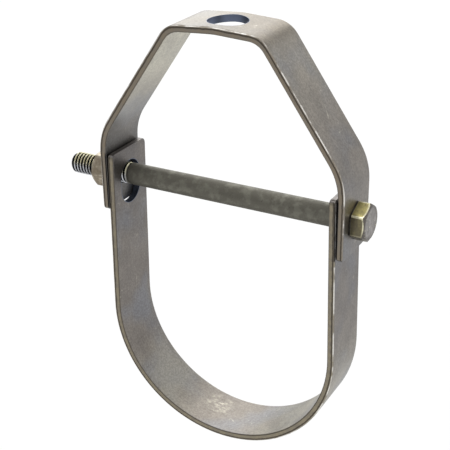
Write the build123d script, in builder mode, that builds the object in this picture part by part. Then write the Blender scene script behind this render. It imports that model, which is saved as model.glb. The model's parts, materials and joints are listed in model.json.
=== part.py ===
"""Clevis pipe hanger: a yoke of bent flat bar, a U-shaped strap with slotted legs, a hex bolt and its nut.

The ears of the yoke lie outside the legs of the strap, and the bolt passes through all four. Millimetres:
Z is up, X runs along the bolt towards its head, and Y runs along the pipe. The origin is at the middle of
the rod hole, halfway through the thickness of the yoke.
"""

import math
import os

from build123d import *

# Flat bar
bar_width = 25.4
yoke_thickness = 3.0
strap_thickness = 3.0
bar_corner_radius = 2.0  # sheared corners at the ends of the bars
bar_edge_break = 0.45  # off all the edges along a bar and round its ends

# Lower strap, with its heights measured from the axis of the bolt
seat_radius = 51.2  # inside the U
seat_drop = 61.2  # down to the centre of the U
leg_rise = 12.35  # up to the end of each leg
leg_lean = 1.0  # degrees that each leg leans inwards
slot_width = 14.3
slot_length = 19.9
slot_rise = 6.25  # up to the upper end of each slot

# Upper yoke, with its heights measured from the axis of the bolt to the inner face of the bar
ear_gap = 0.45  # leg to ear, at the bolt
ear_drop = 13.6
ear_rise = 20.3  # up to the corner of the lower bend
shoulder_rise = 70.0  # up to the corner of the upper bend
shoulder_half_span = 19.4
crown_rise = 1.15  # the top rises a little from the upper bends to the rod hole
ear_bend_radius = 24.4
shoulder_bend_radius = 8.45
crown_bend_radius = 40.0
rod_hole_diameter = 16.6

# Cross bolt and nut, 3/8 inch
bolt_diameter = 9.525
bolt_length = 135.7
tip_chamfer = 1.0
bolt_hole_clearance = 0.4  # radial, in the ears
across_flats = 14.29
washer_face_height = 0.4
washer_face_diameter = 13.6
head_height = 6.2  # with the washer face
head_turn = 25.0  # degrees from +Y to a corner
head_corner_break = 0.2  # radial, off the corners beside the washer face
nut_thickness = 8.33
nut_gap = 1.2  # nut to ear: the bolt is not tightened
nut_turn = 0.0
nut_bore_clearance = 0.05  # radial, over the outside of the thread
nut_countersink = 0.7
hex_chamfer_angle = 30.0
hex_crown_ratio = 0.94  # of the distance across flats: the flat circle on the end of a head or nut

# Lengths that follow from the sizes above
half_width = bar_width / 2
lean = math.radians(leg_lean)
crown_angle = math.atan2(crown_rise, shoulder_half_span)
crown_sag = crown_bend_radius * (1 / math.cos(crown_angle) - 1)
bolt_level = -(shoulder_rise + crown_rise - crown_sag + yoke_thickness / 2)
leg_outside = (seat_radius + strap_thickness - seat_drop * math.sin(lean)) / math.cos(lean)
ear_inside = leg_outside + ear_gap
ear_outside = ear_inside + yoke_thickness
bolt_radius = bolt_diameter / 2
hex_corner_radius = across_flats / math.sqrt(3)
hex_crown_radius = across_flats / 2 * hex_crown_ratio

# Both planes pass through the axis of the bolt: one to draw the bars from the front, one to draw across it
front_plane = Plane((0, 0, bolt_level), x_dir=(1, 0, 0), z_dir=(0, -1, 0))
cross_plane = Plane((0, 0, bolt_level), x_dir=(0, 1, 0), z_dir=(1, 0, 0))
bolt_axis = Axis((0, 0, bolt_level), (1, 0, 0))


def finish_bar(bar: BuildPart, end_faces: ShapeList) -> None:
    """Rounds the corners at the ends of a bent bar, then breaks its edges all the way round."""
    fillet(end_faces.edges().filter_by(Axis.Y, reverse=True), bar_corner_radius)
    sides = bar.faces().filter_by(Axis.Y)
    chamfer(sides.edges(), bar_edge_break)


def add_hexagon(inner_face: float, height: float, turn: float, outward: int) -> None:
    """Adds a hexagon along X from inner_face, towards +X if outward is 1 and towards -X if it is -1."""
    with BuildSketch(cross_plane.offset(inner_face)) as outline:
        RegularPolygon(hex_corner_radius, 6, rotation=turn)
    extrude(outline.sketch, amount=height * outward)


def turn_corners(faces: list[tuple[float, float]]) -> None:
    """Turns the corners of a hexagon down to 30 degree cones.

    faces lists its two ends as (x, radius left flat on that end), from -X to +X.
    """
    (start, start_radius), (end, end_radius) = faces
    slope = math.tan(math.radians(hex_chamfer_angle))
    start_depth = (hex_corner_radius - start_radius) * slope
    end_depth = (hex_corner_radius - end_radius) * slope
    with BuildSketch(front_plane) as section:
        with BuildLine():
            Polyline(
                (start, 0),
                (start, start_radius),
                (start + start_depth, hex_corner_radius),
                (end - end_depth, hex_corner_radius),
                (end, end_radius),
                (end, 0),
                close=True,
            )
        make_face()
    revolve(section.sketch, axis=bolt_axis, mode=Mode.INTERSECT)


# Upper yoke: bent bar, then the bolt holes through the ears and the rod hole through the crown
with BuildPart() as upper_yoke:
    with BuildSketch(front_plane):
        with BuildLine():
            right_side = [
                (ear_inside, -ear_drop),
                (ear_inside, ear_rise),
                (shoulder_half_span, shoulder_rise),
            ]
            left_side = [(-x, z) for x, z in reversed(right_side)]
            bend_radii = [ear_bend_radius, shoulder_bend_radius]
            FilletPolyline(
                *right_side,
                (0, shoulder_rise + crown_rise),
                *left_side,
                radius=[*bend_radii, crown_bend_radius, *reversed(bend_radii)],
            )
            offset(amount=yoke_thickness, side=Side.RIGHT)
        make_face()
    extrude(amount=half_width, both=True)
    finish_bar(upper_yoke, upper_yoke.faces().sort_by(Axis.Z)[:2])
    with BuildSketch(cross_plane):
        Circle(bolt_radius + bolt_hole_clearance)
    extrude(amount=ear_outside + 1, both=True, mode=Mode.SUBTRACT)
    with BuildSketch(Plane.XY):
        Circle(rod_hole_diameter / 2)
    extrude(amount=yoke_thickness, both=True, mode=Mode.SUBTRACT)

# Lower strap: U-shaped bar, then the slots through its legs
with BuildPart() as lower_strap:
    with BuildSketch(front_plane):
        with BuildLine():
            leg_end_x = (seat_radius - (leg_rise + seat_drop) * math.sin(lean)) / math.cos(lean)
            tangent_x = seat_radius * math.cos(lean)
            tangent_z = seat_radius * math.sin(lean) - seat_drop
            Line((-leg_end_x, leg_rise), (-tangent_x, tangent_z))
            ThreePointArc((-tangent_x, tangent_z), (0, -seat_drop - seat_radius), (tangent_x, tangent_z))
            Line((tangent_x, tangent_z), (leg_end_x, leg_rise))
            offset(amount=strap_thickness, side=Side.RIGHT)
        make_face()
    extrude(amount=half_width, both=True)
    finish_bar(lower_strap, lower_strap.faces().sort_by(Axis.Z)[-2:])
    with BuildSketch(cross_plane):
        with Locations((0, slot_rise - slot_length / 2)):
            SlotOverall(slot_length, slot_width, rotation=90)
    extrude(amount=leg_outside + 1, both=True, mode=Mode.SUBTRACT)

# Cross bolt: hexagon head with a washer face, and one shank to the tip
with BuildPart() as cross_bolt:
    head_base = ear_outside + washer_face_height
    head_end = ear_outside + head_height
    add_hexagon(head_base, head_end - head_base, head_turn, outward=1)
    turn_corners([(head_base, hex_corner_radius - head_corner_break), (head_end, hex_crown_radius)])
    with BuildSketch(cross_plane.offset(ear_outside)):
        Circle(washer_face_diameter / 2)
    extrude(amount=washer_face_height)
    with BuildSketch(cross_plane.offset(ear_outside)):
        Circle(bolt_radius)
    extrude(amount=-bolt_length)
    chamfer(cross_bolt.edges().sort_by(Axis.X)[0], tip_chamfer)

# Nut: hexagon with both ends turned, and a bore countersunk at both ends
with BuildPart() as hex_nut:
    nut_inner_face = -ear_outside - nut_gap
    nut_outer_face = nut_inner_face - nut_thickness
    add_hexagon(nut_inner_face, nut_thickness, nut_turn, outward=-1)
    turn_corners([(nut_outer_face, hex_crown_radius), (nut_inner_face, hex_crown_radius)])
    with BuildSketch(cross_plane.offset(nut_outer_face)):
        Circle(bolt_radius + nut_bore_clearance)
    extrude(amount=nut_thickness, mode=Mode.SUBTRACT)
    bore = hex_nut.faces().filter_by(GeomType.CYLINDER).sort_by(Axis.X)[0]
    chamfer(bore.edges().filter_by(GeomType.CIRCLE), nut_countersink)

os.makedirs("parts", exist_ok=True)
upper_yoke.part.label = "upper_yoke"
lower_strap.part.label = "lower_strap"
cross_bolt.part.label = "cross_bolt"
hex_nut.part.label = "hex_nut"
export_step(upper_yoke.part, "parts/upper_yoke.step")
export_step(lower_strap.part, "parts/lower_strap.step")
export_step(cross_bolt.part, "parts/cross_bolt.step")
export_step(hex_nut.part, "parts/hex_nut.step")
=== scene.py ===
"""Finishes the clevis pipe hanger: rolled steel bars, a bolt and nut in yellow zinc, and a studio.

Lengths are in metres. Z is up, X runs along the bolt towards its head, and Y runs along the pipe.
"""

import json
import logging
import math
from dataclasses import dataclass, field
from enum import Enum

import bmesh
import bpy
from mathutils import Matrix, Vector

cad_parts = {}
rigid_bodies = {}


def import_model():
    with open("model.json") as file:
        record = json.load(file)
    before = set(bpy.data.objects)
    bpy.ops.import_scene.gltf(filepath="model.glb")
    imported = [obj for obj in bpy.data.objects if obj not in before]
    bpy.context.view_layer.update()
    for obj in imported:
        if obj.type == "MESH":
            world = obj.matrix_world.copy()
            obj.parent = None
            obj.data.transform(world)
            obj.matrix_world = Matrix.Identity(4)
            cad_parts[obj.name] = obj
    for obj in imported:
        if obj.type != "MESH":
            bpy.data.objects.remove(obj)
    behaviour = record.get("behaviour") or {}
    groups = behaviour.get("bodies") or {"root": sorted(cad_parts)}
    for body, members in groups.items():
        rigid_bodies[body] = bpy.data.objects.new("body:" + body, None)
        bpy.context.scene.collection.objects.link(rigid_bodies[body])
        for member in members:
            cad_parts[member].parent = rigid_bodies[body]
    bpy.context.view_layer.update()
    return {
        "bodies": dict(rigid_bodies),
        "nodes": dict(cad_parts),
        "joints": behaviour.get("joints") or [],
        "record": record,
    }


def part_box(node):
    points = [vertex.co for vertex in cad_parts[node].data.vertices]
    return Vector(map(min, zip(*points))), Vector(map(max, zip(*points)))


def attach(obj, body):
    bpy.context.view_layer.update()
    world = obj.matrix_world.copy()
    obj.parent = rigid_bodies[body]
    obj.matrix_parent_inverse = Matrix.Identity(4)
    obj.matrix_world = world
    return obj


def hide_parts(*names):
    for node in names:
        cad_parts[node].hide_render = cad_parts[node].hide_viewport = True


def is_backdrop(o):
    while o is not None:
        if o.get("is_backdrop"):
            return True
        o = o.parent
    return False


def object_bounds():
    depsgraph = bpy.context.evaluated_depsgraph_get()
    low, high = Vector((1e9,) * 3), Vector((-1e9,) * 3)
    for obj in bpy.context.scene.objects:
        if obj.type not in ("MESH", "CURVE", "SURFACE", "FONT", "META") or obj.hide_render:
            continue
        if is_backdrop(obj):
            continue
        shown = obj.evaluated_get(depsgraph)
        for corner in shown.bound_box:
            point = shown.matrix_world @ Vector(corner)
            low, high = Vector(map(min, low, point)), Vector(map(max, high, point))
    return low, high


LOG = logging.getLogger("pipe_hanger")
MM = 0.001

# A smooth maximum lifts the corner where its two inputs are equal by this share of its reach.
SMOOTH_LIFT = 1 / 6
# The depth and the crest of a 60 degree screw thread, as shares of its pitch.
THREAD_DEPTH = 0.6134
THREAD_CREST = 1 / 8
# A turned hexagon: its size, the flat circle on its end as a share of that, and its cone's angle.
ACROSS_FLATS = 14.29 * MM
CROWN_RATIO = 0.94
CONE_ANGLE = 30.0

Colour = tuple[float, float, float]


class End(Enum):
    """The end of a hexagon whose corners are turned down."""

    OUTER = 1
    BOTH = 2


# --------------------------------------------------------------------------------------------------
# Shader nodes
# --------------------------------------------------------------------------------------------------


class Value:
    """A number, a vector or a colour that a node tree works out at each point.

    Sums with it add the nodes that do them, so a formula reads as it does with plain numbers.

    Attributes:
        bench: the bench of its node tree.
        socket: the output that gives it.
    """

    def __init__(self, bench: "NodeBench", socket: bpy.types.NodeSocket) -> None:
        """Wraps an output of the bench's node tree."""
        self.bench = bench
        self.socket = socket

    def __add__(self, other: object) -> "Value":
        """Adds another value."""
        return self.bench.math("ADD", self, other)

    def __sub__(self, other: object) -> "Value":
        """Takes another value from it."""
        return self.bench.math("SUBTRACT", self, other)

    def __rsub__(self, other: float) -> "Value":
        """Takes it from a number."""
        return self.bench.math("SUBTRACT", other, self)

    def __mul__(self, other: object) -> "Value":
        """Multiplies it."""
        return self.bench.math("MULTIPLY", self, other)

    def __rtruediv__(self, other: float) -> "Value":
        """Divides a number by it."""
        return self.bench.math("DIVIDE", other, self)

    def __abs__(self) -> "Value":
        """Drops its sign."""
        return self.bench.math("ABSOLUTE", self)

    def at_least(self, other: object) -> "Value":
        """Gives the greater of it and another value."""
        return self.bench.math("MAXIMUM", self, other)

    def at_most(self, other: object) -> "Value":
        """Gives the lesser of it and another value."""
        return self.bench.math("MINIMUM", self, other)

    def exceeds(self, other: object) -> "Value":
        """Gives 1 where it is greater than another value, and 0 elsewhere."""
        return self.bench.math("GREATER_THAN", self, other)

    def clamp(self) -> "Value":
        """Keeps the sum that gives it between 0 and 1."""
        self.socket.node.use_clamp = True
        return self

    def ramp(self, start: float, end: float, low: float = 0.0, high: float = 1.0) -> "Value":
        """Maps it smoothly from one range to another.

        Args:
            start: the value that gives low.
            end: the value that gives high.
            low: the result at start and before it.
            high: the result at end and beyond it.

        Returns:
            The result.
        """
        inputs = {"Value": self, "From Min": start, "From Max": end, "To Min": low, "To Max": high}
        kind = "ShaderNodeMapRange"
        return self.bench.work_out(kind, inputs, "Result", interpolation_type="SMOOTHSTEP")

    def between(self, first: object, second: object) -> "Value":
        """Gives the first colour where it is 0, and the second where it is 1."""
        inputs = {0: self, 6: first, 7: second}
        return self.bench.work_out("ShaderNodeMix", inputs, 2, data_type="RGBA")

    def mapped(self, **changes: tuple[float, float, float]) -> "Value":
        """Scales or turns it, as a vector, by its Scale or its Rotation."""
        return self.bench.work_out("ShaderNodeMapping", {"Vector": self, **changes}, "Vector")

    def noise(self, scale: object, detail: float = 3.0, roughness: float = 0.55) -> "Value":
        """Adds noise around 0.5 that is read where it points, with its scale per metre."""
        inputs = {"Vector": self, "Scale": scale, "Detail": detail, "Roughness": roughness}
        return self.bench.work_out("ShaderNodeTexNoise", inputs, "Fac")

    def split(self) -> tuple["Value", ...]:
        """Gives its parts.

        Returns:
            Its X, Y and Z.
        """
        node = self.bench.add("ShaderNodeSeparateXYZ")
        self.bench.feed(node.inputs[0], self)
        return tuple(Value(self.bench, output) for output in node.outputs)


class NodeBench:
    """Places and joins the nodes of one node tree."""

    def __init__(self, tree: bpy.types.NodeTree) -> None:
        """Starts on the node tree of a material, a world or a group."""
        self.tree = tree

    def add(self, kind: str, **settings: object) -> bpy.types.Node:
        """Adds a node.

        Args:
            kind: the node's type name.
            settings: attributes of the node, such as its operation.

        Returns:
            The new node.
        """
        node = self.tree.nodes.new(kind)
        for name, value in settings.items():
            setattr(node, name, value)
        return node

    def feed(self, socket: bpy.types.NodeSocket, value: object) -> None:
        """Links an output to a socket, or sets a plain value on it.

        Args:
            socket: the input socket.
            value: a value, an output socket, a number, a vector or a colour.
        """
        if isinstance(value, Value):
            value = value.socket
        if isinstance(value, bpy.types.NodeSocket):
            self.tree.links.new(value, socket)
        elif socket.type == "RGBA" and len(value) == 3:
            socket.default_value = (*value, 1.0)
        else:
            socket.default_value = value

    def work_out(self, kind: str, inputs: dict, output: int | str, **settings: object) -> Value:
        """Adds a node, feeds it and takes one of its outputs.

        Args:
            kind: the node's type name.
            inputs: its inputs, by name or by number.
            output: the name or the number of the output.
            settings: attributes of the node.

        Returns:
            The output.
        """
        node = self.add(kind, **settings)
        for name, value in inputs.items():
            self.feed(node.inputs[name], value)
        return Value(self, node.outputs[output])

    def math(self, operation: str, *values: object) -> Value:
        """Adds a Math node, such as ADD or SMOOTH_MAX, with its inputs in order."""
        return self.work_out("ShaderNodeMath", dict(enumerate(values)), 0, operation=operation)

    def use_group(self, group: bpy.types.NodeTree, **values: object) -> dict[str, Value]:
        """Places a node group.

        Args:
            group: the group.
            values: its inputs by name, with an underscore for each space.

        Returns:
            Its outputs by name.
        """
        node = self.add("ShaderNodeGroup", node_tree=group)
        for name, value in values.items():
            self.feed(node.inputs[name.replace("_", " ")], value)
        return {output.name: Value(self, output) for output in node.outputs}


class Point:
    """The point of a surface that a material colours.

    Attributes:
        bench: the material's bench.
        place: its place, in Object coordinates.
        x: how far it lies along the bolt.
        y: how far it lies along the pipe.
        z: its height.
    """

    def __init__(self, bench: NodeBench) -> None:
        """Adds the nodes that give its place.

        Args:
            bench: the material's bench.
        """
        self.bench = bench
        self.place = bench.work_out("ShaderNodeTexCoord", {}, "Object")
        self.x, self.y, self.z = self.place.split()


def distance(first: Value, second: Value) -> Value:
    """Gives the distance over two parts at right angles."""
    return first.bench.math("SQRT", first * first + second * second)


def paint(colour: object, *layers: tuple[Value, object]) -> Value:
    """Lays colours over a colour, one after another.

    Args:
        colour: the colour below them.
        layers: how much of each shows, from 0 to 1, with its colour.

    Returns:
        The colour that shows.
    """
    for amount, layer in layers:
        colour = amount.between(colour, layer)
    return colour


def new_material(name: str) -> tuple[bpy.types.Material, NodeBench, bpy.types.Node]:
    """Makes a material.

    Args:
        name: its name.

    Returns:
        The material, a bench on its node tree, and its shader.
    """
    material = bpy.data.materials.new(name)
    material.use_nodes = True
    return material, NodeBench(material.node_tree), material.node_tree.nodes["Principled BSDF"]


@dataclass(frozen=True)
class Relief:
    """The fine relief of a surface.

    Attributes:
        strength: how strongly it bends the light.
        depth: its depth.
    """

    strength: float
    depth: float

    def plate(self, shader: bpy.types.Node, colour: Value, rough: Value, height: Value) -> None:
        """Makes a shader a metal with this relief.

        Args:
            shader: the material's shader.
            colour: the metal's colour.
            rough: its roughness.
            height: its height, as a multiple of the relief's depth.
        """
        inputs = {"Height": height, "Strength": self.strength, "Distance": self.depth}
        bump = height.bench.work_out("ShaderNodeBump", inputs, "Normal")
        settings = {"Base Color": colour, "Metallic": 1.0, "Roughness": rough, "Normal": bump}
        for name, value in settings.items():
            height.bench.feed(shader.inputs[name], value)


def open_group(name: str, *numbers: str) -> tuple[NodeBench | Value, ...]:
    """Makes a node group that takes a vector and some numbers.

    Args:
        name: the group's name.
        numbers: the names of the numbers.

    Returns:
        A bench on the group, the vector, and the numbers.
    """
    tree = bpy.data.node_groups.new(name, "ShaderNodeTree")
    tree.interface.new_socket("Vector", in_out="INPUT", socket_type="NodeSocketVector")
    for number in numbers:
        tree.interface.new_socket(number, in_out="INPUT", socket_type="NodeSocketFloat")
    bench = NodeBench(tree)
    given = bench.add("NodeGroupInput").outputs
    return bench, *(Value(bench, given[title]) for title in ("Vector", *numbers))


def close_group(bench: NodeBench, **results: Value) -> bpy.types.NodeTree:
    """Gives a node group its outputs.

    Args:
        bench: the bench on the group.
        results: the outputs, by name.

    Returns:
        The group.
    """
    for name in results:
        bench.tree.interface.new_socket(name, in_out="OUTPUT", socket_type="NodeSocketFloat")
    outputs = bench.add("NodeGroupOutput").inputs
    for name, value in results.items():
        bench.feed(outputs[name], value)
    return bench.tree


class Effects:
    """The surface effects that several finishes share, each one a node group."""

    def __init__(self) -> None:
        """Builds the groups."""
        self.rolling = self.make_rolling()
        self.scuffs = self.make_scuffs()
        self.speckle = self.make_speckle()

    @staticmethod
    def make_rolling() -> bpy.types.NodeTree:
        """Makes fine lines along a bar and soft patches over it, as rolling leaves them.

        Returns:
            The group.
        """
        bench, place, spacing, size = open_group("rolling marks", "Line Spacing", "Patch Size")
        across = place.mapped(Scale=(0.04, 1.0, 0.04))
        lines = across.noise(1.0 / spacing, 4.0, 0.6).ramp(0.3, 0.7)
        patches = place.noise(1.0 / size, 3.0, 0.6).ramp(0.32, 0.68)
        return close_group(bench, Lines=lines, Patches=patches, Grit=place.noise(2600.0, 2.0, 0.7))

    @staticmethod
    def make_scuffs() -> bpy.types.NodeTree:
        """Makes short light scratches in two directions.

        Returns:
            The group.
        """
        bench, place, spacing, reach = open_group("scuffs", "Spacing", "Reach")
        strokes = []
        for turn, shape in ((0.5, (0.12, 1.0, 0.35)), (-0.9, (0.5, 1.0, 0.1))):
            turned = place.mapped(Rotation=(turn, turn * 0.7, turn)).mapped(Scale=shape)
            strokes.append(turned.noise(1.0 / spacing, 2.0, 0.5).ramp(0.66, 0.74))
        gate = place.noise(120.0, 2.0).ramp(0.5, 0.68)
        both = strokes[0].at_least(strokes[1])
        return close_group(bench, Mask=(both * gate * reach).clamp())

    @staticmethod
    def make_speckle() -> bpy.types.NodeTree:
        """Makes small bright and dark spots, as of plating and of dusty specks.

        Returns:
            The group.
        """
        bench, place, spot_size = open_group("speckle", "Spot Size")
        spots = place.noise(1.0 / spot_size, 2.0, 0.5)
        return close_group(bench, Bright=spots.ramp(0.64, 0.76), Dark=spots.ramp(0.38, 0.27))


# --------------------------------------------------------------------------------------------------
# Finishes
# --------------------------------------------------------------------------------------------------


@dataclass(frozen=True)
class RolledSteel:
    """Plain rolled bar with sheared edges.

    Attributes:
        face: the colour of its wide faces.
        patch: the colour of the darker patches on them.
        cool: a bluish cast that comes and goes over them.
        wear_and_highlight: the colour of scuffs and bright specks, and of painted highlights on the
            faces.
        browned: the dark brown that some places turn to.
        scale: the colour of painted shade on the faces.
        hole_shade: the colour of painted shade, tinted blue, on the walls of holes and slots.
        edge: the colour of its sheared edges.
        groove: the colour of the dark line along those edges.
        lip_highlight: the colour of the painted highlight along the outer corner of those edges.
        gap_shade: the colour of painted shade on an edge's corner where another bar lies against
            it.
        shear_depth: how deep in the edge the dark line lies, from the bar's inner face.
        roughness: the roughness of the faces.
        relief: the relief of the faces.
    """

    face: Colour = (0.325, 0.297, 0.262)
    patch: Colour = (0.225, 0.21, 0.19)
    cool: Colour = (0.215, 0.225, 0.25)
    wear_and_highlight: Colour = (0.60, 0.575, 0.48)
    browned: Colour = (0.13, 0.105, 0.07)
    scale: Colour = (0.082, 0.085, 0.1)
    hole_shade: Colour = (0.13, 0.155, 0.22)
    edge: Colour = (0.25, 0.212, 0.162)
    groove: Colour = (0.045, 0.037, 0.03)
    lip_highlight: Colour = (0.92, 0.91, 0.88)
    gap_shade: Colour = (0.012, 0.012, 0.014)
    shear_depth: float = 2.05 * MM
    roughness: float = 0.42
    relief: Relief = Relief(0.4, 0.03 * MM)

    def make(
        self, name: str, effects: Effects, form: "BarForm", half_width: float
    ) -> bpy.types.Material:
        """Makes the material.

        Args:
            name: its name.
            effects: the shared surface effects.
            form: where a point lies on the bent bar.
            half_width: half of the bar's width.

        Returns:
            The material.
        """
        material, bench, shader = new_material(name)
        point = Point(bench)
        place = point.place
        rolling = bench.use_group(
            effects.rolling, Vector=place, Line_Spacing=0.7 * MM, Patch_Size=9 * MM
        )
        through = form.depth(point)
        zones = form.zones(point, through)
        reach = zones.handled + 0.45
        marks = bench.use_group(effects.scuffs, Vector=place, Spacing=1.4 * MM, Reach=reach)
        scuffs = marks["Mask"]
        fine = bench.use_group(effects.speckle, Vector=place, Spot_Size=1.0 * MM)
        edge = abs(point.y).ramp(half_width - 0.5 * MM, half_width - 0.12 * MM)

        edge_colour, near = self.edge_colour(point, through)
        # Painted highlight: a bright line, broken by noise, along the outer corner of each edge.
        lip_highlight = edge * through.ramp(form.thickness - 0.5 * MM, form.thickness - 0.3 * MM)
        glint = place.noise(120.0, 4.0, 0.6).ramp(0.42, 0.56, 0.1, 1.0)
        colour = paint(
            self.face_colour(point, rolling, scuffs, fine, zones),
            (edge, edge_colour),
            (lip_highlight * glint, self.lip_highlight),
            # Painted shade: nearly black on the edge's corner where the other bar lies close.
            (zones.gap_shade * edge, self.gap_shade),
            # Painted shade, tinted blue, on the walls of holes and slots.
            (zones.hole_shade, self.hole_shade),
        )
        rough = rolling["Grit"] * 0.16 + (self.roughness - 0.08) + edge * 0.1 - scuffs * 0.12
        height = rolling["Lines"] * 0.35 + rolling["Grit"] * 0.6 - near * (edge * 2.5)
        self.relief.plate(shader, colour, rough, height)
        return material

    def face_colour(
        self,
        point: Point,
        rolling: dict[str, Value],
        scuffs: Value,
        fine: dict[str, Value],
        zones: "Zones",
    ) -> Value:
        """Adds the colour of the wide faces.

        Args:
            point: the point.
            rolling: the rolling marks.
            scuffs: the scuffs.
            fine: the speckle.
            zones: where painted highlights, painted shade and other marks lie on the bar.

        Returns:
            The colour.
        """
        tone = (rolling["Patches"] * 0.55 + rolling["Lines"] * 0.35).clamp()
        return paint(
            tone.between(self.patch, self.face),
            (point.place.noise(38.0, 2.0).ramp(0.45, 0.7, 0.0, 0.7), self.cool),
            # Painted shade: darker where the zones say, near the ears and the tops of the legs.
            (zones.scale, self.scale),
            # Painted highlights where the zones say, with some real rubbing in the strap's seat.
            (zones.wear_and_highlight, self.wear_and_highlight),
            (zones.browned, self.browned),
            (scuffs * 0.6, self.wear_and_highlight),
            (point.place.noise(1100.0, 3.0, 0.7).ramp(0.35, 0.65, 0.0, 0.3), self.groove),
            (fine["Dark"] * 0.2, self.groove),
            (fine["Bright"] * 0.14, self.wear_and_highlight),
        )

    def edge_colour(self, point: Point, through: Value) -> tuple[Value, Value]:
        """Adds the colour of the sheared edges, with a dark line where the shear broke through.

        Args:
            point: the point.
            through: the depth of the point.

        Returns:
            The colour, and how near the point is to the dark line.
        """
        grain = point.place.noise(500.0, 3.0)
        wander = (grain - 0.5) * (0.5 * MM)
        near = abs(through + wander - self.shear_depth).ramp(0.42 * MM, 0.18 * MM)
        inner_lip = through.ramp(0.5 * MM, 0.25 * MM, 0.0, 0.75)
        plain = grain.ramp(0.35, 0.65, 0.0, 0.45).between(self.edge, self.patch)
        return paint(plain, (near * 0.8, self.groove), (inner_lip, self.groove)), near


@dataclass(frozen=True)
class ScrewForm:
    """The form of a bolt or a nut along X, for a finish that follows it.

    Attributes:
        height: the height of its axis.
        start: where its hexagon starts along X, on the ear's side.
        end: where its hexagon ends along X.
        across_flats: the size of its hexagon.
        crown_ratio: the flat circle on the end of the hexagon, as a share of the size across flats.
        chamfer: the angle of the cone on the hexagon's corners, in degrees.
        thread: the radius of its thread, or nothing where it shows none.
        thread_end: where its thread ends along X.
        tip: where the bolt's tip lies along X.
    """

    height: float
    start: float
    end: float
    across_flats: float
    crown_ratio: float = CROWN_RATIO
    chamfer: float = CONE_ANGLE
    thread: float = 0.0
    thread_end: float = 0.0
    tip: float = 0.0

    @property
    def outward(self) -> int:
        """The sign of the direction from the start of its hexagon to the end."""
        return 1 if self.end > self.start else -1

    def reach(self, point: Point) -> Value:
        """Adds the distance of a point from the axis."""
        return distance(point.y, point.z - self.height)

    def on_hexagon(self, point: Point) -> Value:
        """Says whether a point is on the hexagon, as 1 or 0."""
        return (point.x * self.outward).exceeds(self.start * self.outward + 0.1 * MM)

    def on_thread(self, point: Point) -> Value:
        """Says how far a point is on the thread, from 0 to 1."""
        return point.x.ramp(self.thread_end + 1.5 * MM, self.thread_end)

    def cone(self, point: Point, reach: Value) -> tuple[Value, Value]:
        """Tells the end of the hexagon from its sides.

        Args:
            point: the point.
            reach: its distance from the axis.

        Returns:
            Whether it is on the end or its cone, and how near it is to the cone's border on a side.
        """
        crown = self.across_flats / 2 * self.crown_ratio
        fall = (reach - crown) * math.tan(math.radians(self.chamfer))
        short = self.end * self.outward - (point.x * self.outward + fall.at_least(0.0))
        on_end = short.ramp(0.1 * MM, 0.04 * MM)
        return on_end, short.ramp(0.75 * MM, 0.5 * MM) * (1.0 - on_end)

    def corner(self, reach: Value) -> Value:
        """Says how near a point is to one of the hexagon's long edges, from its reach."""
        corner_radius = self.across_flats / math.sqrt(3)
        return reach.ramp(corner_radius - 0.32 * MM, corner_radius - 0.18 * MM)

    def facing(self, point: Point, angle: float) -> Value:
        """Tells one side of the hexagon from the others.

        Args:
            point: the point.
            angle: the angle of the side's normal from +Y, in degrees.

        Returns:
            Whether it is on that side, as 1 or 0.
        """
        along = point.y * math.cos(math.radians(angle))
        rise = (point.z - self.height) * math.sin(math.radians(angle))
        return (along + rise).exceeds(self.across_flats / 2 - 0.06 * MM)


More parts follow.
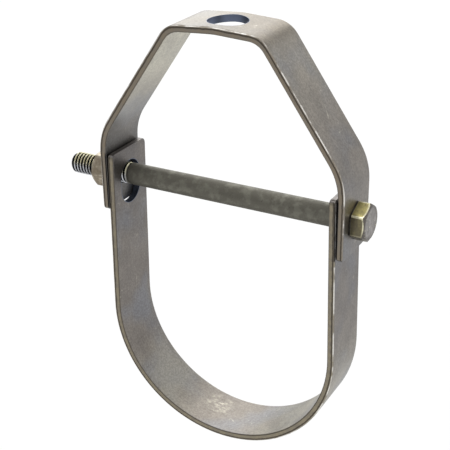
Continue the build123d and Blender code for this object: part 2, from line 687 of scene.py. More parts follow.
@dataclass(frozen=True)
class YellowZinc:
    """Zinc plating with a yellow passivation.

    Attributes:
        plating: the colour of the sides of a hexagon.
        tint: the colour that they turn to in patches.
        face: the colour of the end of a hexagon.
        shank: the colour of a shank.
        dust_and_shade: the colour of dull marks on it, and of the painted shade on its shaded
            sides.
        wear_and_highlight: the colour of wear and painted highlights along its edges, and of
            painted highlights on the thread's upper crests.
        crest: the colour of the painted highlight on the lower side of a thread's crests.
        root: the colour of the painted shade in the grooves of a thread.
        shaded_sides: the sides darkened by painted shade, by the angles of their normals from +Y.
        side_shade: how dark the painted shade makes them, from 0 to 1.
        roughness: its roughness.
        dullness: how much of it the dull marks cover, from 0 to 1.
        relief: its relief.
    """

    plating: Colour = (0.52, 0.46, 0.19)
    tint: Colour = (0.36, 0.32, 0.14)
    face: Colour = (0.27, 0.255, 0.25)
    shank: Colour = (0.205, 0.2, 0.168)
    dust_and_shade: Colour = (0.09, 0.08, 0.07)
    wear_and_highlight: Colour = (0.88, 0.84, 0.6)
    crest: Colour = (0.62, 0.64, 0.68)
    root: Colour = (0.010, 0.010, 0.011)
    shaded_sides: tuple[float, ...] = (175.0, 235.0)
    side_shade: float = 0.75
    roughness: float = 0.26
    dullness: float = 0.3
    relief: Relief = Relief(0.25, 0.02 * MM)

    def make(self, name: str, effects: Effects, form: ScrewForm) -> bpy.types.Material:
        """Makes the material.

        Args:
            name: its name.
            effects: the shared surface effects.
            form: the form that it follows.

        Returns:
            The material.
        """
        material, bench, shader = new_material(name)
        point = Point(bench)
        spots = bench.use_group(effects.speckle, Vector=point.place, Spot_Size=0.8 * MM)
        marks = point.place.noise(260.0, 4.0, 0.65).ramp(0.62, 0.45, 0.0, self.dullness)
        grit = point.place.noise(1800.0, 2.0)
        reach = form.reach(point)
        on_hexagon = form.on_hexagon(point)
        colour = on_hexagon.between(self.shank, self.hexagon_colour(point, reach, form, spots))
        colour = paint(colour, (marks, self.dust_and_shade), (spots["Dark"] * 0.5, self.dust_and_shade))
        rough = marks * 0.25 + grit * 0.1
        if form.thread:
            on_thread = form.on_thread(point)
            colour = on_thread.between(colour, self.thread_colour(point, reach, form))
            rough = rough + (1.0 - on_hexagon) * (1.0 - on_thread) * 0.3
        self.relief.plate(shader, colour, rough + self.roughness, grit + spots["Bright"])
        return material

    def thread_colour(self, point: Point, reach: Value, form: ScrewForm) -> Value:
        """Adds the colour of a thread: painted shade in the grooves, and painted highlights on the
        crests, brighter and yellower above.

        Args:
            point: the point.
            reach: its distance from the axis.
            form: the form that it follows.

        Returns:
            The colour.
        """
        # Painted highlights on the crests, with the top ones yellower, and painted shade, almost
        # black, in the grooves.
        crest = reach.ramp(form.thread - 0.5 * MM, form.thread - 0.22 * MM)
        end_face = point.x.ramp(form.tip + 0.08 * MM, form.tip + 0.03 * MM, 0.0, 0.4)
        upper = point.z.ramp(form.height, form.height + 3 * MM)
        return crest.at_least(end_face).between(self.root, upper.between(self.crest, self.wear_and_highlight))

    def hexagon_colour(
        self, point: Point, reach: Value, form: ScrewForm, spots: dict[str, Value]
    ) -> Value:
        """Adds the colour of a hexagon: yellow sides with painted shade on some, a grey end, and
        edges made bright by wear and painted highlights.

        Args:
            point: the point.
            reach: its distance from the axis.
            form: the form that it follows.
            spots: the speckle.

        Returns:
            The colour.
        """
        on_end, border = form.cone(point, reach)
        clouds = point.place.noise(420.0, 3.0).ramp(0.35, 0.65)
        # Painted shade on the sides that face the front and down.
        side_shading = [(form.facing(point, angle) * self.side_shade, self.dust_and_shade) for angle in self.shaded_sides]
        ring = reach.ramp(form.across_flats * 0.36, form.across_flats * 0.46, 0.0, 0.75)
        dirty_face = paint(self.face, (ring, self.dust_and_shade), (clouds * 0.35, self.dust_and_shade))
        face = paint(dirty_face, (spots["Bright"], self.wear_and_highlight))
        # Painted highlights along the long edges and the cone's border, strongest on top, with some
        # real wear.
        edge_wear_and_highlight = point.place.noise(300.0, 2.0).ramp(0.3, 0.5, 0.35, 1.0)
        edge_wear_and_highlight = edge_wear_and_highlight * point.z.ramp(form.height - 3.5 * MM, form.height + 0.5 * MM, 0.25, 1.0)
        sides = form.corner(reach) * (1.0 - on_end)
        bright = (sides.at_least(border) * edge_wear_and_highlight, self.wear_and_highlight)
        return paint(clouds.between(self.plating, self.tint), *side_shading, (on_end, face), bright)


# --------------------------------------------------------------------------------------------------
# Bars
# --------------------------------------------------------------------------------------------------


@dataclass(frozen=True)
class Zones:
    """Where a bar's surface differs, each from 0 to 1.

    Attributes:
        wear_and_highlight: where painted light, with a little real wear in the strap's seat,
            brightens it.
        scale: where painted shade darkens it.
        browned: where it turns dark brown.
        handled: where it has more scuffs.
        hole_shade: painted shade on the walls of its holes.
        gap_shade: painted shade on the edge's corner where another bar lies against it.
    """

    wear_and_highlight: Value
    scale: Value
    browned: Value
    handled: Value
    hole_shade: Value
    gap_shade: Value


@dataclass
class BarForm:
    """The form of a bent bar, for a finish that follows it.

    Attributes:
        bolt_height: the height of the bolt's axis.
        thickness: the thickness of the bar.
    """

    bolt_height: float
    thickness: float

    def depth(self, point: Point) -> Value:
        """Adds the nodes that say how deep a point lies in the bar, from its inner face."""
        raise NotImplementedError

    def zones(self, point: Point, depth: Value) -> Zones:
        """Adds the nodes that say where the bar's surface differs, from a point and its depth."""
        raise NotImplementedError

    def up(self, point: Point) -> Value:
        """Gives a point's height above the bolt."""
        return point.z - self.bolt_height

    def inside(self, depth: Value) -> Value:
        """Says how far a point is on the inner face, from its depth."""
        return depth.ramp(0.55 * self.thickness, 0.35 * self.thickness)

    @staticmethod
    def on_wall(reach: Value, radius: float) -> Value:
        """Says how far a point is on a hole's wall, from its distance from the hole's middle."""
        return reach.ramp(radius + 0.3 * MM, radius + 0.05 * MM)

    @staticmethod
    def beyond(out: Value, up: Value, corner: tuple[float, float], angle: float) -> Value:
        """Adds a point's distance outside a straight run, from a corner and the run's normal."""
        return (out - corner[0]) * math.cos(angle) + (up - corner[1]) * math.sin(angle)


@dataclass
class StrapForm(BarForm):
    """The form of the U-shaped strap.

    Attributes:
        seat_height: the height of the seat's centre above the bolt, below zero.
        seat_radius: the radius of the seat.
        lean: how far the legs lean inwards, in degrees.
        slot_radius: half of the width of a slot.
        slot_centres: the heights of a slot's two round ends above the bolt, lower one first.
        ear_drop: how far the yoke's ears reach below the bolt.
        frost_place: the place of the frosted patch in the seat, along X and Y.
        frost_radius: the radius of that patch.
    """

    seat_height: float
    seat_radius: float
    lean: float = 1.0
    slot_radius: float = 7.15 * MM
    slot_centres: tuple[float, float] = (-6.5 * MM, -0.9 * MM)
    ear_drop: float = 13.6 * MM
    frost_place: tuple[float, float] = (-9 * MM, 3 * MM)
    frost_radius: float = 9 * MM

    def depth(self, point: Point) -> Value:
        """Adds the nodes: the legs are straight, and the seat is round.

        Args:
            point: the point.

        Returns:
            The depth, in metres.
        """
        out, up = abs(point.x), self.up(point)
        lean = math.radians(self.lean)
        leg = self.beyond(out, up, (0.0, self.seat_height), lean)
        drop = up - self.seat_height
        seat = distance(out, drop)
        on_leg = drop.exceeds(out * math.tan(lean))
        return seat + on_leg * (leg - seat) - self.seat_radius

    def zones(self, point: Point, depth: Value) -> Zones:
        """Adds the nodes: a seat brightened by painted light and a frosted patch, painted shade on
        the legs' tops and beside the ears, and painted shade in the slots.

        Args:
            point: the point.
            depth: how deep it lies in the bar.

        Returns:
            The zones.
        """
        up, seat = self.up(point), self.seat_height
        uneven = point.place.noise(70.0, 4.0).ramp(0.3, 0.6, 0.35, 1.0)
        inside = self.inside(depth)
        outside = 1.0 - inside
        # Painted light: the inner seat brighter towards the head's side, and a painted highlight on
        # the outer curve.
        in_seat = up.ramp(seat - 18 * MM, seat - 40 * MM, 0.0, 0.6)
        aside = abs(point.x).ramp(10 * MM, 30 * MM, 0.1, 1.0)
        towards_head = aside * point.x.ramp(-10 * MM, 10 * MM, 0.65, 1.3)
        outer_curve = up.ramp(seat + 14 * MM, seat - 22 * MM, 0.0, 0.45)
        wear_and_highlight = inside * in_seat * towards_head + outside * outer_curve
        # Painted shade: darker towards the tops of the legs, inside more than outside.
        inner_shade = up.ramp(-45 * MM, 8 * MM, 0.0, 0.48)
        outer_shade = up.ramp(seat + 8 * MM, -25 * MM, 0.0, 0.3)
        scale = (inner_shade * inside + outer_shade * outside) * uneven
        # Painted shade along the outer corner of the legs, where the yoke's ears lie against them.
        above_ear = up.ramp(-self.ear_drop - 0.5 * MM, -self.ear_drop + 0.5 * MM)
        gap_shade = depth.ramp(self.thickness - 0.75 * MM, self.thickness - 0.4 * MM) * above_ear
        low, high = self.slot_centres
        from_slot = distance(point.y, up - up.at_least(low).at_most(high))
        frost = self.frost(point) * inside
        flecks = point.place.mapped(Scale=(0.5, 1.0, 0.5)).noise(520.0, 4.0, 0.7)
        frost = frost * flecks.ramp(0.42, 0.7, 0.0, 0.8)
        wear_and_highlight = (wear_and_highlight * uneven + frost).clamp()
        # The bottom of the seat turns a little browner.
        browned = up.ramp(seat - 20 * MM, seat - 46 * MM, 0.0, 0.2) * uneven
        # Painted shade on the walls of the slots.
        hole_shade = self.on_wall(from_slot, self.slot_radius)
        return Zones(wear_and_highlight, scale, browned, frost, hole_shade, gap_shade)

    def frost(self, point: Point) -> Value:
        """Adds the soft round patch in the seat, seen in plan.

        Args:
            point: the point.

        Returns:
            How much of the patch is at the point, from 0 to 1.
        """
        middle = self.bolt_height + self.seat_height
        away = distance(point.x - self.frost_place[0], point.y - self.frost_place[1])
        patch = away.ramp(self.frost_radius, 0.2 * self.frost_radius)
        return patch * point.z.ramp(middle, middle - 20 * MM)


@dataclass
class YokeForm(BarForm):
    """The form of the yoke.

    Attributes:
        ear_inside: the distance of the ear's inner face from the middle.
        rod_radius: the radius of the rod hole.
        ear_rise: the height of the lower bend's corner above the bolt.
        shoulder_span: the distance of the upper bend's corner from the middle.
        shoulder_rise: the height of that corner above the bolt.
        ear_bend: the inner radius of the lower bend.
        shoulder_bend: the inner radius of the upper bend.
        crown_rise: how far the crown rises from that corner to the middle.
        leg_rise: how far the strap's legs reach above the bolt.
        scuff_rise: the height of the scuffed place on its slope above the bolt.
    """

    ear_inside: float
    rod_radius: float
    ear_rise: float = 20.3 * MM
    shoulder_span: float = 19.4 * MM
    shoulder_rise: float = 70.0 * MM
    ear_bend: float = 24.4 * MM
    shoulder_bend: float = 8.45 * MM
    crown_rise: float = 1.15 * MM
    leg_rise: float = 12.35 * MM
    scuff_rise: float = 43 * MM

    def depth(self, point: Point) -> Value:
        """Adds the nodes: three straight runs, joined at two bends.

        Args:
            point: the point.

        Returns:
            The depth, in metres.
        """
        out, up = abs(point.x), self.up(point)
        climb = math.atan2(self.shoulder_rise - self.ear_rise, self.ear_inside - self.shoulder_span)
        slope = math.pi / 2 - climb
        crown = math.pi / 2 - math.atan2(self.crown_rise, self.shoulder_span)
        shoulder = (self.shoulder_span, self.shoulder_rise)
        ear_run = self.beyond(out, up, (self.ear_inside, 0.0), 0.0)
        slope_run = self.beyond(out, up, shoulder, slope)
        crown_run = self.beyond(out, up, shoulder, crown)
        ear_round = self.ear_bend * (1 - math.cos(slope / 2)) / SMOOTH_LIFT
        shoulder_round = self.shoulder_bend * (1 - math.cos((crown - slope) / 2)) / SMOOTH_LIFT
        lower = point.bench.math("SMOOTH_MAX", ear_run, slope_run, ear_round)
        return point.bench.math("SMOOTH_MAX", lower, crown_run, shoulder_round)

    def zones(self, point: Point, depth: Value) -> Zones:
        """Adds the nodes: painted light inside near the top, painted shade near the ears and beside
        the legs, and painted shade in the rod hole.

        Args:
            point: the point.
            depth: how deep it lies in the bar.

        Returns:
            The zones.
        """
        up, ear, shoulder = self.up(point), self.ear_rise, self.shoulder_rise
        uneven = point.place.noise(60.0, 4.0).ramp(0.3, 0.62, 0.6, 1.0)
        inside = self.inside(depth)
        outside = 1.0 - inside
        # Painted light: brighter towards the top, far more inside than outside.
        high_inside = up.ramp(ear + 4 * MM, shoulder - 8 * MM, 0.12, 0.95)
        high_outside = up.ramp(ear + 15 * MM, shoulder - 8 * MM, 0.0, 0.14)
        # Painted shade: darker towards the ears inside, and lower down outside.
        low_inside = up.ramp(ear + 20 * MM, ear - 8 * MM, 0.0, 0.85)
        low_outside = up.ramp(shoulder - 15 * MM, 0.0, 0.0, 0.3)
        wear_and_highlight = (high_inside * inside + high_outside * outside) * uneven
        scale = (inside * low_inside + outside * low_outside) * uneven
        # The crown turns darker and browner towards +X.
        on_crown = up.ramp(shoulder - 3 * MM, shoulder + 2 * MM) * outside
        browned = on_crown * point.x.ramp(-16 * MM, 9 * MM, 0.12, 0.62)
        # Painted shade along the inner corner, beside the strap's legs.
        beside_leg = up.ramp(self.leg_rise + 1.5 * MM, self.leg_rise - 0.5 * MM)
        gap_shade = depth.ramp(0.75 * MM, 0.4 * MM) * beside_leg
        from_scuffs = abs(up - self.scuff_rise)
        handled = from_scuffs.ramp(13 * MM, 4 * MM, 0.0, 0.9) * point.x.ramp(0.0, MM)
        # Painted shade on the wall of the rod hole.
        hole_shade = self.on_wall(distance(point.x, point.y), self.rod_radius)
        return Zones(wear_and_highlight, scale, browned, handled, hole_shade, gap_shade)


@dataclass
class Bars:
    """The yoke and the strap: their shapes are the frame's own, and they are dressed here.

    Attributes:
        frame: the loaded frame.
        effects: the shared surface effects.
        bolt_height: the height of the bolt's axis.
        yoke_finish: the steel of the yoke.
        strap_finish: the steel of the strap.
    """

    frame: dict
    effects: Effects
    bolt_height: float
    yoke_finish: RolledSteel = RolledSteel()
    strap_finish: RolledSteel = RolledSteel(
        face=(0.262, 0.24, 0.216), patch=(0.187, 0.171, 0.158), edge=(0.29, 0.255, 0.185)
    )

    def dress(self) -> None:
        """Gives each bar its own material."""
        mounts = {mount["name"]: mount for mount in self.frame["record"]["mounts"]}
        rod_hole, seat = mounts["rod_hole"], mounts["pipe_seat"]
        thickness = rod_hole["dims"]["length_mm"] * MM
        yoke_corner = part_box("upper_yoke")[1]
        rod_radius = rod_hole["dims"]["r_mm"] * MM
        yoke_form = YokeForm(self.bolt_height, thickness, yoke_corner.x - thickness, rod_radius)
        self.coat("upper_yoke", self.yoke_finish, yoke_form, yoke_corner.y)

        strap_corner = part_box("lower_strap")[1]
        seat_radius = seat["dims"]["r_mm"] * MM
        seat_height = seat["pos_m"][2] - self.bolt_height
        thickness = strap_corner.x - seat_radius
        strap_form = StrapForm(self.bolt_height, thickness, seat_height, seat_radius)
        self.coat("lower_strap", self.strap_finish, strap_form, strap_corner.y)

    def coat(self, node: str, finish: RolledSteel, form: BarForm, half_width: float) -> None:
        """Puts a finish on one bar.

        Args:
            node: the bar's node.
            finish: its steel.
            form: its form.
            half_width: half of its width.
        """
        material = finish.make(f"{node} rolled steel", self.effects, form, half_width)
        bar = self.frame["nodes"][node]
        for bar_slot in bar.material_slots:
            bar_slot.material = material
        LOG.info("dressed %s", node)


# --------------------------------------------------------------------------------------------------
# Bolt and nut
# --------------------------------------------------------------------------------------------------


@dataclass
class Hexagon:
    """A hexagonal prism along X, with its corners turned down to a cone.

    Attributes:
        start: where its inner end lies along X.
        end: where its outer end lies along X.
        across_flats: its size across the flats.
        turn: the angle from +Y to one of its corners, in degrees.
        height: the height of its axis.
        turned: the ends whose corners are turned down.
        crown_ratio: the flat circle left on a turned end, as a share of the size across flats.
        chamfer: the angle of the cone, in degrees.
        edge_round: the rounding along its six long edges.
        cuts: how many flats stand for the cone.
    """

    start: float
    end: float
    across_flats: float
    turn: float
    height: float
    turned: End
    crown_ratio: float = CROWN_RATIO
    chamfer: float = CONE_ANGLE
    edge_round: float = 0.14 * MM
    cuts: int = 72

    @property
    def outward(self) -> int:
        """The sign of the direction from its inner end to its outer end."""
        return 1 if self.end > self.start else -1

    @property
    def crown_radius(self) -> float:
        """The radius of the flat circle left on a turned end."""
        return self.across_flats / 2 * self.crown_ratio

    def build(self) -> bmesh.types.BMesh:
        """Makes the solid.

        Returns:
            The mesh, closed.
        """
        mesh = bmesh.new()
        middle = Vector(((self.start + self.end) / 2, 0.0, self.height))
        corner_radius = self.across_flats / math.sqrt(3)
        upright = Matrix.Rotation(math.radians(90), 4, "Y")
        turned = Matrix.Rotation(math.radians(self.turn), 4, "X")
        bmesh.ops.create_cone(
            mesh,
            cap_ends=True,
            segments=6,
            radius1=corner_radius,
            radius2=corner_radius,
            depth=abs(self.end - self.start),
            matrix=Matrix.Translation(middle) @ turned @ upright,
        )
        lengths = {edge: abs(edge.verts[0].co.x - edge.verts[1].co.x) for edge in mesh.edges}
        long_edges = [edge for edge, length in lengths.items() if length > MM]
        bmesh.ops.bevel(
            mesh,
            geom=long_edges,
            offset=self.edge_round,
            offset_type="OFFSET",
            affect="EDGES",
            segments=2,
            profile=0.5,
            material=-1,
        )
        self.turn_down(mesh, self.end, self.outward)
        if self.turned is End.BOTH:
            self.turn_down(mesh, self.start, -self.outward)
        return mesh

    def turn_down(self, mesh: bmesh.types.BMesh, face: float, side: int) -> None:
        """Cuts the corners at one end back to the cone.

        Args:
            mesh: the solid.
            face: where the end lies along X.
            side: the sign of the direction out of that end.
        """
        slope = math.radians(self.chamfer)
        for cut in range(self.cuts):
            angle = math.tau * cut / self.cuts
            spoke = Vector((0.0, math.cos(angle), math.sin(angle)))
            point = Vector((face, 0.0, self.height)) + spoke * self.crown_radius
            normal = Vector((math.cos(slope) * side, 0.0, 0.0)) + spoke * math.sin(slope)
            rim = trim(mesh, point, normal)
            if rim:
                bmesh.ops.contextual_create(mesh, geom=rim)


def trim(mesh: bmesh.types.BMesh, point: Vector, normal: Vector) -> list[bmesh.types.BMEdge]:
    """Cuts a mesh at a plane and drops what lies beyond it.

    Args:
        mesh: the mesh.
        point: a point on the plane.
        normal: the direction of the side that is dropped.

    Returns:
        The edges of the cut's rim.
    """
    everything = mesh.verts[:] + mesh.edges[:] + mesh.faces[:]
    cut = bmesh.ops.bisect_plane(
        mesh, geom=everything, dist=1e-8, plane_co=point, plane_no=normal, clear_outer=True
    )
    edges = [item for item in cut["geom_cut"] if isinstance(item, bmesh.types.BMEdge)]
    return [edge for edge in edges if edge.is_boundary]


def spin_about_bolt(
    mesh: bmesh.types.BMesh, geometry: list, height: float, steps: int, advance: float = 0.0
) -> None:
    """Spins a profile once round the bolt's axis.

    Args:
        mesh: the mesh that holds it.
        geometry: the vertices and edges of the profile.
        height: the height of the axis.
        steps: the steps in a turn.
        advance: how far the profile moves along X in a turn, which makes a screw.
    """
    bmesh.ops.spin(
        mesh,
        geom=geometry,
        cent=(0.0, 0.0, height),
        axis=(1.0, 0.0, 0.0),
        dvec=(advance / steps, 0.0, 0.0),
        angle=math.tau,
        steps=steps,
        use_merge=advance == 0.0,
    )
    bmesh.ops.remove_doubles(mesh, verts=mesh.verts[:], dist=1e-7)


def draw_profile(mesh: bmesh.types.BMesh, points: list[tuple[float, float]], height: float) -> list:
    """Draws a chain of edges above the axis, from places along X with their radii."""
    verts = [mesh.verts.new((x, 0.0, height + radius)) for x, radius in points]
    return verts + [mesh.edges.new(pair) for pair in zip(verts, verts[1:])]


def sharpen(mesh: bmesh.types.BMesh, limit: float) -> None:
    """Shades the faces smoothly, but for the edges that turn by more than a limit.

    Args:
        mesh: the mesh.
        limit: the limit, in degrees.
    """
    for face in mesh.faces:
        face.smooth = True
    for edge in mesh.edges:
        edge.smooth = edge.is_manifold and edge.calc_face_angle(math.pi) < math.radians(limit)


def into_object(
    mesh: bmesh.types.BMesh, name: str, material: bpy.types.Material
) -> bpy.types.Object:
    """Turns a mesh into an object of the scene.

    Args:
        mesh: the mesh, which is freed.
        name: the object's name.
        material: its material.

    Returns:
        The object.
    """
    bmesh.ops.recalc_face_normals(mesh, faces=mesh.faces[:])
    data = bpy.data.meshes.new(name)
    mesh.to_mesh(data)
    mesh.free()
    data.materials.append(material)
    item = bpy.data.objects.new(name, data)
    bpy.context.scene.collection.objects.link(item)
    return item


def join(target: bmesh.types.BMesh, addition: bmesh.types.BMesh) -> None:
    """Adds one mesh to another.

    Args:
        target: the mesh that grows.
        addition: the mesh that is added and freed.
    """
    carrier = bpy.data.meshes.new("carrier")
    addition.to_mesh(carrier)
    addition.free()
    target.from_mesh(carrier)
    bpy.data.meshes.remove(carrier)


@dataclass
class CrossBolt:
    """The long hexagon bolt, with its thread.

    Attributes:
        effects: the shared surface effects.
        height: the height of its axis.
        seat: where its head bears on the ear, along X.
        diameter: the outside diameter of its thread and shank.
        across_flats: the size of its head.
        head_turn: the angle from +Y to a corner of its head, in degrees.
        washer_face: the height and the radius of the washer face.
        pitch: the pitch of its thread.
        thread_length: the length of its thread, from the tip.
        runout: the length over which the thread dies away into the shank.
        tip_chamfer: the chamfer on its tip.
        steps: the steps in a turn.
        finish: its plating.
    """

    effects: Effects
    height: float
    seat: float
    diameter: float = 9.525 * MM
    across_flats: float = ACROSS_FLATS
    head_turn: float = 25.0
    washer_face: tuple[float, float] = (0.4 * MM, 6.8 * MM)
    pitch: float = 1.5875 * MM
    thread_length: float = 28.4 * MM
    runout: float = 2.4 * MM
    tip_chamfer: float = 1.0 * MM
    steps: int = 64
    finish: YellowZinc = YellowZinc()
    box: tuple[Vector, Vector] = field(init=False)

    def __post_init__(self) -> None:
        """Reads its ends from the frame."""
        self.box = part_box("cross_bolt")

    @property
    def radius(self) -> float:
        """The radius of its shank and of the crests of its thread."""
        return self.diameter / 2

    @property
    def tip(self) -> float:
        """Where its tip lies along X."""
        return self.box[0].x

    def build(self) -> bpy.types.Object:
        """Makes the bolt and puts it in place of its solid.

        Returns:
            The bolt.
        """
        mesh = self.make_thread()
        join(mesh, self.make_head())
        head_start = self.seat + self.washer_face[0]
        form = ScrewForm(
            self.height,
            head_start,
            self.box[1].x,
            self.across_flats,
            thread=self.radius,
            thread_end=self.tip + self.thread_length,
            tip=self.tip,
        )
        material = self.finish.make("yellow zinc", self.effects, form)
        bolt = into_object(mesh, "threaded_cross_bolt", material)
        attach(bolt, "bolt")
        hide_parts("cross_bolt")
        LOG.info("built %s with %d faces", bolt.name, len(bolt.data.polygons))
        return bolt

    def make_head(self) -> bmesh.types.BMesh:
        """Makes the head and its washer face.

        Returns:
            The mesh.
        """
        face_height, face_radius = self.washer_face
        head = Hexagon(
            self.seat + face_height,
            self.box[1].x,
            self.across_flats,
            self.head_turn,
            self.height,
            End.OUTER,
        )
        mesh = head.build()
        disc = bmesh.new()
        overlap = 0.2 * MM
        back = self.seat + face_height + overlap
        outline = [(self.seat, 0.0), (self.seat, face_radius), (back, face_radius), (back, 0.0)]
        spin_about_bolt(disc, draw_profile(disc, outline, self.height), self.height, self.steps)
        join(mesh, disc)
        sharpen(mesh, limit=25)
        return mesh

    def thread_turn(self, start: float) -> list[tuple[float, float]]:
        """Gives one turn of the thread: a blunt crest, two flanks at 60 degrees and a root.

        Args:
            start: where its crest starts along X.

        Returns:
            Places along X, each with its radius.
        """
        depth = THREAD_DEPTH * self.pitch
        flank = depth * math.tan(math.radians(30))
        crest = THREAD_CREST * self.pitch
        blunt = 0.05 * MM
        root = self.pitch - crest - 2 * flank
        form = [
            (0.0, self.radius - blunt),
            (crest * 0.3, self.radius),
            (crest * 0.7, self.radius),
            (crest, self.radius - blunt),
            (crest + flank - blunt, self.radius - depth + blunt),
            (crest + flank + root / 2, self.radius - depth),
            (self.pitch - flank + blunt, self.radius - depth + blunt),
        ]
        return [(start + x, radius) for x, radius in form]

    def make_thread(self) -> bmesh.types.BMesh:
        """Makes the thread as a screw, lets it die away, and carries the shank on into the head.

        Returns:
            The mesh, closed.
        """
        mesh = bmesh.new()
        thread_end = self.tip + self.thread_length
        before_tip, spare = 2, 5
        first = self.tip - before_tip * self.pitch
        turns = math.ceil((self.thread_length + self.runout) / self.pitch) + spare
        starts = [first + turn * self.pitch for turn in range(turns)]
        outline = [point for start in starts for point in self.thread_turn(start)]
        profile = draw_profile(mesh, outline, self.height)
        spin_about_bolt(mesh, profile, self.height, self.steps, advance=self.pitch)
        for vertex in mesh.verts:
            self.shape_ends(vertex, thread_end)
        shank_start = thread_end + self.runout + self.pitch / 2
        for place, side in ((self.tip, -1.0), (shank_start, 1.0)):
            trim(mesh, Vector((place, 0.0, 0.0)), Vector((side, 0.0, 0.0)))
        rims = [edge for edge in mesh.edges if edge.is_boundary]
        tip_rim = [edge for edge in rims if edge.verts[0].co.x < self.tip + MM]
        shank_rim = [edge for edge in rims if edge.verts[0].co.x > self.tip + MM]
        bmesh.ops.contextual_create(mesh, geom=tip_rim)
        grown = bmesh.ops.extrude_edge_only(mesh, edges=shank_rim)["geom"]
        new_verts = [item for item in grown if isinstance(item, bmesh.types.BMVert)]
        inside_head = self.seat + 2 * MM
        bmesh.ops.translate(mesh, verts=new_verts, vec=(inside_head - shank_start, 0.0, 0.0))
        bmesh.ops.contextual_create(mesh, geom=[edge for edge in mesh.edges if edge.is_boundary])
        sharpen(mesh, limit=28)
        return mesh

    def shape_ends(self, vertex: bmesh.types.BMVert, thread_end: float) -> None:
        """Moves a vertex onto the tip's chamfer, or towards the shank where the thread ends.

        Args:
            vertex: the vertex.
            thread_end: where the thread starts to die away, along X.
        """
        spoke = Vector((0.0, vertex.co.y, vertex.co.z - self.height))
        reach = spoke.length
        fade = min(max((vertex.co.x - thread_end) / self.runout, 0.0), 1.0)
        wanted = reach + (self.radius - reach) * fade
        wanted = min(wanted, self.radius - self.tip_chamfer + max(vertex.co.x - self.tip, 0.0))
        spoke *= wanted / reach
        vertex.co = Vector((vertex.co.x, spoke.y, self.height + spoke.z))


@dataclass
class HexNut:
    """The nut on the bolt.

    Attributes:
        effects: the shared surface effects.
        height: the height of its axis.
        across_flats: its size.
        turn: the angle from +Y to one of its corners, in degrees.
        bore_radius: the radius of its bore, just over the bolt's thread.
        countersink: how far each mouth of the bore opens out.
        finish: its plating.
    """

    effects: Effects
    height: float
    across_flats: float = ACROSS_FLATS
    turn: float = 0.0
    bore_radius: float = 4.8125 * MM
    countersink: float = 0.7 * MM
    finish: YellowZinc = YellowZinc(
        plating=(0.47, 0.415, 0.32),
        tint=(0.33, 0.29, 0.23),
        face=(0.3, 0.27, 0.22),
        dust_and_shade=(0.20, 0.16, 0.115),
        wear_and_highlight=(0.45, 0.41, 0.33),
        shaded_sides=(),
        roughness=0.42,
        dullness=0.6,
    )

    def build(self) -> bpy.types.Object:
        """Makes the nut and puts it in place of its solid.

        Returns:
            The nut.
        """
        low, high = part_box("hex_nut")
        mesh = Hexagon(high.x, low.x, self.across_flats, self.turn, self.height, End.BOTH).build()
        self.bore(mesh, low.x, high.x)
        sharpen(mesh, limit=25)
        form = ScrewForm(self.height, high.x, low.x, self.across_flats)
        material = self.finish.make("dull yellow zinc", self.effects, form)
        nut = into_object(mesh, "turned_hex_nut", material)
        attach(nut, "nut")
        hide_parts("hex_nut")
        LOG.info("built %s with %d faces", nut.name, len(nut.data.polygons))
        return nut

    def bore(self, mesh: bmesh.types.BMesh, outer: float, inner: float) -> None:
        """Opens the bore between the two end faces, with a countersink at each mouth.

        Args:
            mesh: the turned hexagon.
            outer: where its outer face lies along X.
            inner: where its inner face lies along X.
        """
        axis = Vector((0.0, 0.0, self.height))
        mouth_radius = self.bore_radius + self.countersink
        rims = []
        for place, inward in ((outer, 1.0), (inner, -1.0)):
            end_face = min(mesh.faces, key=lambda face: abs(face.calc_center_median().x - place))
            middles = [(edge.verts[0].co + edge.verts[1].co) / 2 - axis for edge in end_face.edges]
            crown_radius = min(middle.yz.length for middle in middles)
            bmesh.ops.inset_region(mesh, faces=[end_face], thickness=crown_radius - mouth_radius)
            mouth = end_face.edges[:]
            bmesh.ops.delete(mesh, geom=[end_face], context="FACES_ONLY")
            grown = bmesh.ops.extrude_edge_only(mesh, edges=mouth)["geom"]
            rim_verts = [item for item in grown if isinstance(item, bmesh.types.BMVert)]
            rims += [item for item in grown if isinstance(item, bmesh.types.BMEdge)]
            shrink = self.bore_radius / mouth_radius
            to_axis = Matrix.Translation(-axis)
            bmesh.ops.scale(mesh, verts=rim_verts, vec=(1.0, shrink, shrink), space=to_axis)
            bmesh.ops.translate(mesh, verts=rim_verts, vec=(inward * self.countersink, 0.0, 0.0))
        bore_rims = [edge for edge in rims if edge.is_boundary]
        bmesh.ops.bridge_loops(mesh, edges=bore_rims)


# --------------------------------------------------------------------------------------------------
# Studio
# --------------------------------------------------------------------------------------------------


@dataclass(frozen=True)
class Softbox:
    """A square lamp that faces the hanger.

    Attributes:
        name: its name.
        azimuth: its direction from the hanger, in degrees from -Y towards +X.
        elevation: its height in the same way.
        distance: its distance.
        size: the length of its side.
        power: its power in watts.
        colour: its colour.
    """

    name: str
    azimuth: float
    elevation: float
    distance: float
    size: float
    power: float
    colour: Colour = (1.0, 1.0, 1.0)

    def hang(self, target: Vector) -> None:
        """Adds the lamp.

        Args:
            target: the point that it faces.
        """
        data = bpy.data.lights.new(self.name, "AREA")
        data.size = self.size
        data.energy = self.power
        data.color = self.colour
        lamp = bpy.data.objects.new(self.name, data)
        away = direction(self.azimuth, self.elevation)
        lamp.location = target + away * self.distance
        lamp.rotation_euler = away.to_track_quat("Z", "Y").to_euler()
        bpy.context.scene.collection.objects.link(lamp)


def direction(azimuth: float, elevation: float) -> Vector:
    """Gives the direction from the hanger to something around it.

    Args:
        azimuth: degrees from -Y towards +X.
        elevation: degrees above the level.

    Returns:
        The direction, of length 1.
    """
    turn, lift = math.radians(azimuth), math.radians(elevation)
    level = Vector((math.sin(turn), -math.cos(turn), 0.0))
    return level * math.cos(lift) + Vector((0.0, 0.0, math.sin(lift)))


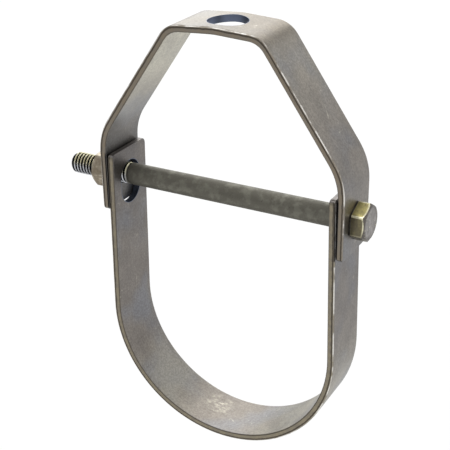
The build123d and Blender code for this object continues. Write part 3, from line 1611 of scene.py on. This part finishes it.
@dataclass(frozen=True)
class Viewpoint:
    """Where the camera stands, from the middle of the bolt.

    Attributes:
        azimuth: degrees from -Y towards +X.
        elevation: degrees above the level.
        roll: how far the camera leans, in degrees.
        distance: from the bolt to the camera, along its line of sight.
        aside: how far the camera stands to the right of that line.
        above: how far it stands above it.
        focal_ratio: the focal length over the width of the picture.
        sensor: the width of the sensor, in millimetres.
    """

    azimuth: float = 29.328
    elevation: float = 25.668
    roll: float = -0.975
    distance: float = 444.16 * MM
    aside: float = -2.337 * MM
    above: float = -13.055 * MM
    focal_ratio: float = 2.35851
    sensor: float = 36.0

    def set_up(self, target: Vector) -> bpy.types.Object:
        """Adds the camera and makes it the scene's own.

        Args:
            target: the middle of the bolt.

        Returns:
            The camera.
        """
        back = direction(self.azimuth, self.elevation)
        level = direction(self.azimuth + 90, 0.0)
        upright = back.cross(level)
        lean = math.radians(self.roll)
        right = level * math.cos(lean) + upright * math.sin(lean)
        up = upright * math.cos(lean) - level * math.sin(lean)
        data = bpy.data.cameras.new("camera")
        data.sensor_width = self.sensor
        data.lens = self.focal_ratio * self.sensor
        data.clip_start = 10 * MM
        camera = bpy.data.objects.new("camera", data)
        camera.rotation_euler = Matrix((right, up, back)).transposed().to_euler()
        camera.location = target + back * self.distance + right * self.aside + up * self.above
        bpy.context.scene.collection.objects.link(camera)
        bpy.context.scene.camera = camera
        return camera


@dataclass
class Studio:
    """The floor, the lamps, the surroundings and the camera.

    Attributes:
        target: the middle of the bolt.
        floor_gap: from the lowest point of the hanger down to the floor.
        floor_size: the length of the floor's side.
        floor_glow: how much of the floor's light is its own, where it is seen, from 0 to 1.
        lamps: the lamps.
        viewpoint: where the camera stands.
    """

    target: Vector
    floor_gap: float = 60 * MM
    floor_size: float = 12.0
    floor_glow: float = 0.85
    lamps: tuple[Softbox, ...] = (
        Softbox("back softbox", 205.0, 34.0, 1.7, 1.5, 15.0),
        Softbox("overhead softbox", -60.0, 72.0, 1.3, 0.7, 4.0),
        Softbox("right softbox", 100.0, 25.0, 1.3, 0.6, 2.5, (1.0, 0.96, 0.9)),
        Softbox("front softbox", 50.0, 15.0, 1.5, 0.35, 1.5),
    )
    viewpoint: Viewpoint = Viewpoint()

    def build(self) -> None:
        """Builds the studio."""
        self.lay_floor()
        self.light_surroundings()
        for lamp in self.lamps:
            lamp.hang(self.target)
        self.viewpoint.set_up(self.target)
        bpy.context.scene.view_settings.view_transform = "Standard"
        LOG.info("built the studio with %d lamps", len(self.lamps))

    def lay_floor(self) -> None:
        """Lays a plain white floor below the hanger."""
        mesh = bmesh.new()
        ground = Matrix.Translation((0.0, 0.0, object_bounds()[0][2] - self.floor_gap))
        half = self.floor_size / 2
        bmesh.ops.create_grid(mesh, x_segments=1, y_segments=1, size=half, matrix=ground)
        floor = into_object(mesh, "floor", self.floor_material())
        floor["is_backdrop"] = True

    def floor_material(self) -> bpy.types.Material:
        """Makes the floor's white, which still shows a faint shadow.

        Returns:
            The material.
        """
        material, bench, shader = new_material("white floor")
        output = material.node_tree.nodes["Material Output"]
        bench.feed(shader.inputs["Base Color"], (0.85, 0.85, 0.85))
        bench.feed(shader.inputs["Roughness"], 0.9)
        kinds = ("Camera", "Glossy", "Transmission")
        rays = [bench.work_out("ShaderNodeLightPath", {}, f"Is {kind} Ray") for kind in kinds]
        seen = rays[0].at_least(rays[1]).at_least(rays[2])
        glow = bench.work_out("ShaderNodeEmission", {}, 0)
        inputs = {0: seen * self.floor_glow, 1: shader.outputs[0], 2: glow}
        bench.feed(output.inputs["Surface"], bench.work_out("ShaderNodeMixShader", inputs, 0))
        return material

    def light_surroundings(self) -> None:
        """Lights the room: brighter behind and above, darker in front, white where seen."""
        world = bpy.data.worlds.new("room")
        world.use_nodes = True
        bpy.context.scene.world = world
        bench = NodeBench(world.node_tree)
        _, depth, height = bench.work_out("ShaderNodeTexCoord", {}, "Generated").split()
        level = depth.ramp(-0.5, 0.7).at_least(height.ramp(0.0, 0.9))
        room = level.between((0.22, 0.21, 0.20), (0.95, 0.95, 0.95))
        seen = bench.work_out("ShaderNodeLightPath", {}, "Is Camera Ray")
        background = world.node_tree.nodes["Background"]
        bench.feed(background.inputs["Color"], seen.between(room, (1.0, 1.0, 1.0)))


def main() -> None:
    """Builds and dresses the hanger in order, then its studio."""
    logging.basicConfig(level=logging.INFO, format="%(message)s")
    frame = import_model()
    low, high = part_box("cross_bolt")
    bolt_height = (low.z + high.z) / 2
    effects = Effects()

    Bars(frame, effects, bolt_height).dress()
    CrossBolt(effects, bolt_height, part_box("upper_yoke")[1].x).build()
    HexNut(effects, bolt_height).build()
    Studio(Vector((0.0, 0.0, bolt_height))).build()


if __name__ == "__main__":
    main()
